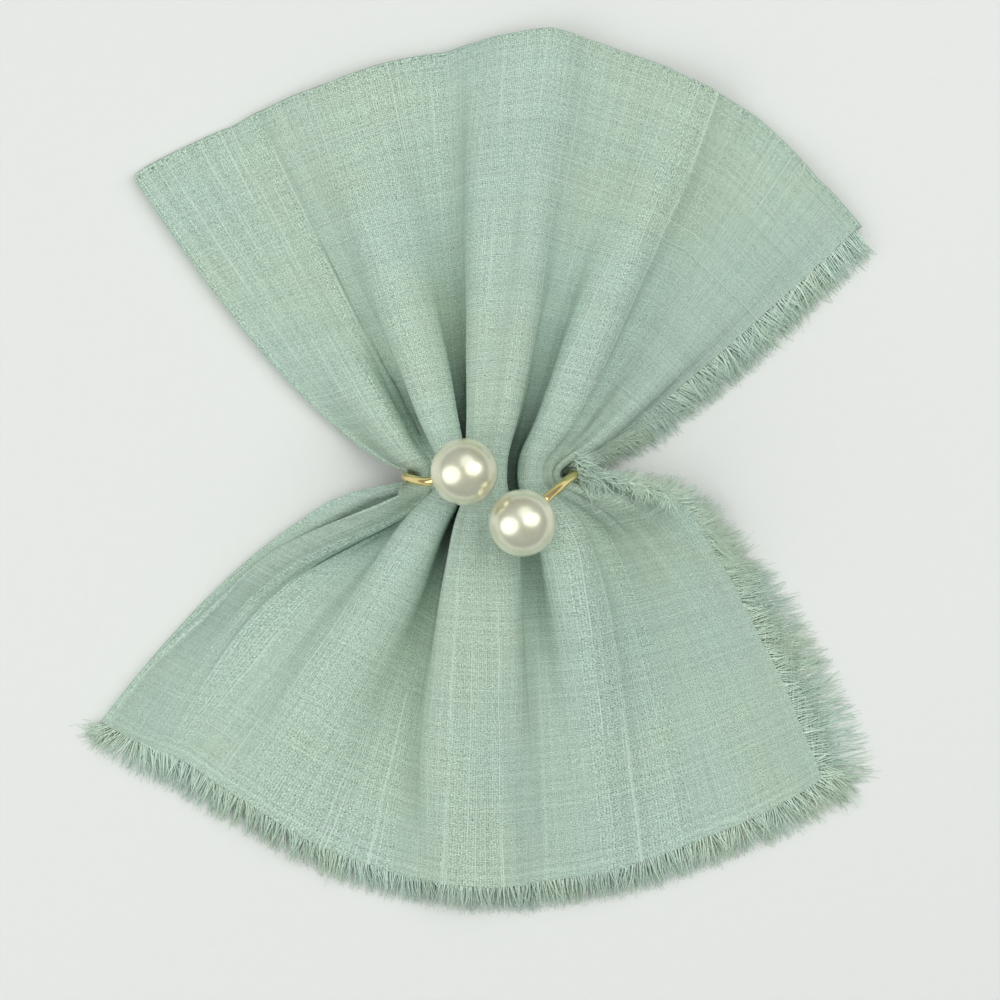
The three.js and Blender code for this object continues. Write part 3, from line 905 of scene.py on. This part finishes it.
def edge_threads(right, table, cloth, settings, seed):
    """Threads of one frayed edge, layer by layer from the lowest up."""
    found = []
    for number, (row_side, column_side, rest, rise) in enumerate(LAYERS):
        random = np.random.default_rng(seed * 10 + number)
        low, high = table[0, 0], table[-1, 0]
        if row_side > 0 and right and low < 0:
            high = CURL_END
        fine = np.linspace(low, high, 600)
        turns = column_side * math.pi / 2, row_side * math.pi / 2
        path = layer_points(right, fine, turns, cloth)[0]
        gone = np.concatenate([[0], np.cumsum(np.linalg.norm(np.diff(path, axis=0), axis=1))])
        count = int(gone[-1] / (settings.spacing / MM))
        at = (np.arange(count) + random.uniform(0.0, 1.0, count)) / count * gone[-1]
        place = np.interp(at, gone, fine)
        roots, thread_u, thread_v, _ = layer_points(right, place, turns, cloth)
        heading = thread_u if right else -thread_v
        columns = (1, 2, 3 if row_side < 0 else 4)
        lean_x, lean_y, length = (np.interp(place, table[:, 0], table[:, k]) for k in columns)
        lean = np.column_stack([lean_x, lean_y, np.zeros(count)])
        stray = random.normal(0, 0.09, (count, 3)) + 0.13 * smoothed(random, count, 9)[:, None]
        level = unit((heading + lean + stray) * [1, 1, 0])
        lengths = length * random.normal(1.0, 0.09, count)
        start = roots - heading * random.uniform(0.2, 1.0, (count, 1)) + [0, 0, rise]
        rests = np.clip(rest + random.uniform(-0.15, 0.6, count), 0, np.maximum(start[:, 2], 0.3))
        rests = np.maximum(rests, start[:, 2] - 0.65 * lengths)
        found.append(threads(start, level, lengths, rests, seed * 10 + number))
        hairs = random.choice(count, count // 2, replace=False)
        wild = unit(level[hairs] + random.normal(0, 0.35, (len(hairs), 3)) * [1, 1, 0])
        hair_lengths = lengths[hairs] * 1.05
        found.append(threads(start[hairs], wild, hair_lengths, rests[hairs] + 0.4, seed + 500, loose=0.9))
    return found


def layer_points(right, place, turns, cloth):
    across, v = edge_places(right, place)
    column_turn, row_turn = (np.full(len(place), turn) for turn in turns)
    return sheet_points(across, column_turn, v, row_turn, cloth)


def fringe_radii(groups):
    """The threads and, thinner, the stray hairs between them."""
    sizes = [np.full(len(paths), 1.0 if k % 2 == 0 else 0.4) for k, paths in enumerate(groups)]
    return np.concatenate(groups), np.concatenate(sizes)


FRINGES = {
    "bottom_fringe": (False, BOTTOM_FRINGE, ("fringe_bottom_upper", "fringe_bottom_lower")),
    "lower_right_fringe": (
        True, LOWER_RIGHT_FRINGE, ("fringe_right_bottom_upper", "fringe_right_bottom_lower")
    ),
    "upper_right_fringe": (True, UPPER_RIGHT_FRINGE, ("fringe_right_top_upper", "fringe_right_top_lower")),
}


class NAPKIN_OT_fringe(Operator):
    """Make the frayed threads along the bottom edge and the right edge"""

    bl_idname = "napkin.fringe"
    bl_label = "Fringe"

    def execute(self, context):
        cloth = context.scene.napkin_cloth_settings
        settings = context.scene.napkin_fringe_settings
        material = thread_material(settings)
        for seed, (name, (right, table, nodes)) in enumerate(FRINGES.items(), 1):
            paths, sizes = fringe_radii(edge_threads(right, table, cloth, settings, seed))
            mesh = thread_mesh(name, paths, sizes, settings, seed)
            piece = finish_piece(name, mesh, material)
            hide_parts(*nodes)
        paths, sizes = fringe_radii(self.curled_band(cloth) + self.tufts())
        mesh = thread_mesh("curled_fringe", paths, sizes, settings, 79)
        finish_piece("curled_fringe", mesh, material)
        sheet = bpy.data.objects.get("gathered_cloth")
        if sheet is None:
            raise RuntimeError("the fringe needs the cloth first")
        return {"FINISHED"}

    def curled_band(self, cloth):
        """The upper edge's threads by the ring, which curl over onto the panel."""
        random = np.random.default_rng(77)
        count = 420
        place = np.sort(random.uniform(CURL_END - 0.02, -0.012, count))
        roots, _, _, normal = layer_points(True, place, (math.pi / 2, math.pi / 2), cloth)
        roots = roots + normal * 1.4 + random.normal(0, 0.5, roots.shape)
        angle = -0.85 + random.normal(0, 0.55, count) + 0.35 * smoothed(random, count, 10)
        headings = np.column_stack([np.cos(angle), np.sin(angle), np.zeros(count)])
        lengths = random.normal(5.2, 1.2, count)
        rests = roots[:, 2] + random.uniform(-0.8, 0.6, count)
        main = threads(roots, headings, lengths, rests, 78, curl=1.6, loose=1.1)
        hair_count = 160
        angle = random.uniform(-1.8, 0.9, hair_count)
        headings = np.column_stack([np.cos(angle), np.sin(angle), np.zeros(hair_count)])
        some = random.choice(count, hair_count, replace=False)
        hair_lengths = lengths[some] * 0.8
        hairs = threads(roots[some], headings, hair_lengths, rests[some] + 0.5, 80, curl=1.8, loose=1.2)
        return [main, hairs]

    def tufts(self):
        """Loose curls where the edge is squeezed through the ring, and at the two frayed corners."""
        groups = []
        for number, (centre, spread, facing, fan, count, length, drop, curl) in enumerate(TUFTS):
            random = np.random.default_rng(900 + number)
            for share in (1.0, 0.4):
                total = int(count * share)
                roots = np.array(centre) + random.normal(0, 1, (total, 3)) * spread
                angle = np.radians(facing + random.uniform(-fan, fan, total))
                headings = np.column_stack([np.cos(angle), np.sin(angle), np.zeros(total)])
                lengths = random.normal(length, length * 0.18, total)
                rests = np.maximum(roots[:, 2] - drop * random.uniform(0.6, 1.1, total), 0.3)
                groups.append(threads(roots, headings, lengths, rests, 950 + number, curl=curl, loose=0.7))
        return groups


def wire_points():
    """Centre line of the wire from inside pearl one to inside pearl two."""
    (_, first, out_first), (_, second, out_second) = PEARLS
    out_first, out_second = Vector(out_first).normalized(), Vector(out_second).normalized()
    ends = (3.4, 7.2, 11.0)
    start = [Vector(first) + out_first * d for d in ends]
    end = [Vector(second) + out_second * d for d in reversed(ends)]
    return start + [Vector(p) for p in WIRE_ROUTE] + end


class NAPKIN_OT_wire(Operator):
    """Make the ring's wire"""

    bl_idname = "napkin.wire"
    bl_label = "Ring Wire"

    def execute(self, context):
        settings = context.scene.napkin_ring_settings
        route = wire_points()
        curve = bpy.data.curves.new("ring_wire_route", "CURVE")
        curve.dimensions = "3D"
        curve.resolution_u = 12
        curve.bevel_depth = settings.wire_radius
        curve.bevel_resolution = 8
        curve.use_fill_caps = True
        spline = curve.splines.new("BEZIER")
        spline.bezier_points.add(len(route) - 1)
        for i, (knot, point) in enumerate(zip(spline.bezier_points, route)):
            before = route[max(0, i - 1)]
            after = route[min(len(route) - 1, i + 1)]
            tangent = (after - before) / (2 if 0 < i < len(route) - 1 else 1)
            place = (point + Vector(SHIFT)) * MM
            knot.co = place
            knot.handle_left = place - tangent * MM / 3
            knot.handle_right = place + tangent * MM / 3
        holder = bpy.data.objects.new("ring_wire_route", curve)
        context.scene.collection.objects.link(holder)
        mesh = bpy.data.meshes.new_from_object(holder.evaluated_get(context.evaluated_depsgraph_get()))
        bpy.data.objects.remove(holder)
        bpy.data.curves.remove(curve)
        piece = finish_piece("gold_wire_ring", mesh, gold_material(settings))
        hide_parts("ring_wire")
        return {"FINISHED"}


class NAPKIN_OT_pearls(Operator):
    """Make the two drilled pearls"""

    bl_idname = "napkin.pearls"
    bl_label = "Pearls"

    def execute(self, context):
        settings = context.scene.napkin_ring_settings
        material = pearl_material(settings)
        for node, centre, out in PEARLS:
            mesh = self.drilled_ball(settings, Vector(centre), Vector(out).normalized())
            piece = finish_piece(node + "_ball", mesh, material)
            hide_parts(node)
        return {"FINISHED"}

    def drilled_ball(self, settings, centre, out):
        """A ball spun from its profile, with a rounded rim and a blind hole for the wire."""
        radius = settings.pearl_radius / MM
        hole = settings.wire_radius / MM + 0.3
        depth = 6.2
        rim = math.asin(hole / radius)
        steps = 30
        profile = [(0.0, -radius)]
        for i in range(1, steps + 1):
            angle = (math.pi - rim * 1.25) * i / steps
            profile.append((radius * math.sin(angle), -radius * math.cos(angle)))
        profile.append((hole, radius * math.cos(rim) - 0.25))
        profile.append((hole, radius * math.cos(rim) - depth))
        profile.append((0.0, radius * math.cos(rim) - depth))
        work = bmesh.new()
        verts = [work.verts.new((x, 0, z)) for x, z in profile]
        edges = [work.edges.new(pair) for pair in zip(verts, verts[1:])]
        bmesh.ops.spin(
            work,
            geom=verts + edges,
            cent=(0, 0, 0),
            axis=(0, 0, 1),
            angle=math.tau,
            steps=56,
            use_merge=True,
        )
        bmesh.ops.remove_doubles(work, verts=work.verts, dist=1e-4)
        bmesh.ops.recalc_face_normals(work, faces=work.faces)
        turn = Vector((0, 0, 1)).rotation_difference(out).to_matrix()
        bmesh.ops.rotate(work, verts=work.verts, cent=(0, 0, 0), matrix=turn)
        bmesh.ops.translate(work, verts=work.verts, vec=centre + Vector(SHIFT))
        bmesh.ops.scale(work, verts=work.verts, vec=(MM, MM, MM))
        mesh = bpy.data.meshes.new("drilled_ball")
        work.to_mesh(mesh)
        work.free()
        return mesh


# Each softbox: direction from the napkin, distance and size in metres, power in watts.
SOFTBOXES = (
    ("left_softbox", (-0.70, -0.165, 0.695), 1.15, (1.15, 1.5), 6.6),
    ("right_softbox", (0.53, 0.17, 0.83), 1.15, (0.85, 1.25), 5.2),
    ("overhead", (0.25, 0.85, 1.2), 2.2, (1.8, 1.8), 7.5),
)
ROOM_COLOUR = (0.95, 1.0, 0.97, 1)
ROOM_STRENGTH = 0.36
VIEW_MIDDLE = np.array([4.64, -8.99])


class NAPKIN_OT_stage(Operator):
    """Make the floor, the lights and the camera"""

    bl_idname = "napkin.stage"
    bl_label = "Stage"

    def execute(self, context):
        settings = context.scene.napkin_stage_settings
        scene = context.scene
        scene.view_settings.view_transform = "Standard"
        work = bmesh.new()
        bmesh.ops.create_grid(work, x_segments=1, y_segments=1, size=1.6)
        mesh = bpy.data.meshes.new("floor")
        work.to_mesh(mesh)
        work.free()
        floor = bpy.data.objects.new("floor", mesh)
        scene.collection.objects.link(floor)
        paint = Paint("pale floor")
        place = paint.node("ShaderNodeTexCoord")[3]
        grain = paint.noise(place, 300.0, 3.0)
        paint.set(Base_Color=paint.shade(settings.floor, 0.985 + grain * 0.03), Roughness=0.8)
        mesh.materials.append(paint.material)
        world = bpy.data.worlds.new("studio")
        world.use_nodes = True
        background = world.node_tree.nodes["Background"]
        background.inputs["Color"].default_value = ROOM_COLOUR
        background.inputs["Strength"].default_value = ROOM_STRENGTH
        scene.world = world
        for softbox in SOFTBOXES:
            self.softbox(scene, *softbox)
        camera = bpy.data.cameras.new("camera")
        camera.sensor_width = 36
        camera.lens = 36 * settings.camera_height / settings.view_width
        camera.clip_end = 10
        eye = bpy.data.objects.new("camera", camera)
        eye.location = (*((VIEW_MIDDLE + SHIFT[:2]) * MM), settings.camera_height)
        scene.collection.objects.link(eye)
        scene.camera = eye
        return {"FINISHED"}

    def softbox(self, scene, name, direction, distance, size, power):
        light = bpy.data.lights.new(name, "AREA")
        light.shape = "ELLIPSE"
        light.size, light.size_y = size
        light.energy = power
        holder = bpy.data.objects.new(name, light)
        heading = Vector(direction).normalized()
        holder.location = heading * distance
        holder.rotation_euler = heading.to_track_quat("Z", "Y").to_euler()
        scene.collection.objects.link(holder)


class NAPKIN_PT_panel(Panel):
    bl_label = "Napkin in a ring"
    bl_idname = "NAPKIN_PT_panel"
    bl_space_type = "VIEW_3D"
    bl_region_type = "UI"
    bl_category = "Napkin"

    def draw(self, context):
        for name in SETTINGS:
            box = self.layout.box()
            group = getattr(context.scene, name)
            for key in group.bl_rna.properties.keys():
                if key not in ("rna_type", "name"):
                    box.prop(group, key)
        for operator in OPERATORS:
            self.layout.operator(operator.bl_idname)


SETTINGS = {
    "napkin_cloth_settings": NapkinSettings,
    "napkin_fringe_settings": FringeSettings,
    "napkin_ring_settings": RingSettings,
    "napkin_stage_settings": StageSettings,
}
OPERATORS = (NAPKIN_OT_stage, NAPKIN_OT_cloth, NAPKIN_OT_fringe, NAPKIN_OT_wire, NAPKIN_OT_pearls)


def register():
    for made in (*SETTINGS.values(), *OPERATORS, NAPKIN_PT_panel):
        bpy.utils.register_class(made)
    for name, group in SETTINGS.items():
        setattr(bpy.types.Scene, name, PointerProperty(type=group))


def unregister():
    for name in SETTINGS:
        delattr(bpy.types.Scene, name)
    for made in reversed((*SETTINGS.values(), *OPERATORS, NAPKIN_PT_panel)):
        bpy.utils.unregister_class(made)


def main():
    register()
    bpy.ops.napkin.stage()
    bpy.ops.napkin.cloth()
    bpy.ops.napkin.fringe()
    bpy.ops.napkin.wire()
    bpy.ops.napkin.pearls()
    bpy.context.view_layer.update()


if __name__ == "__main__":
    main()
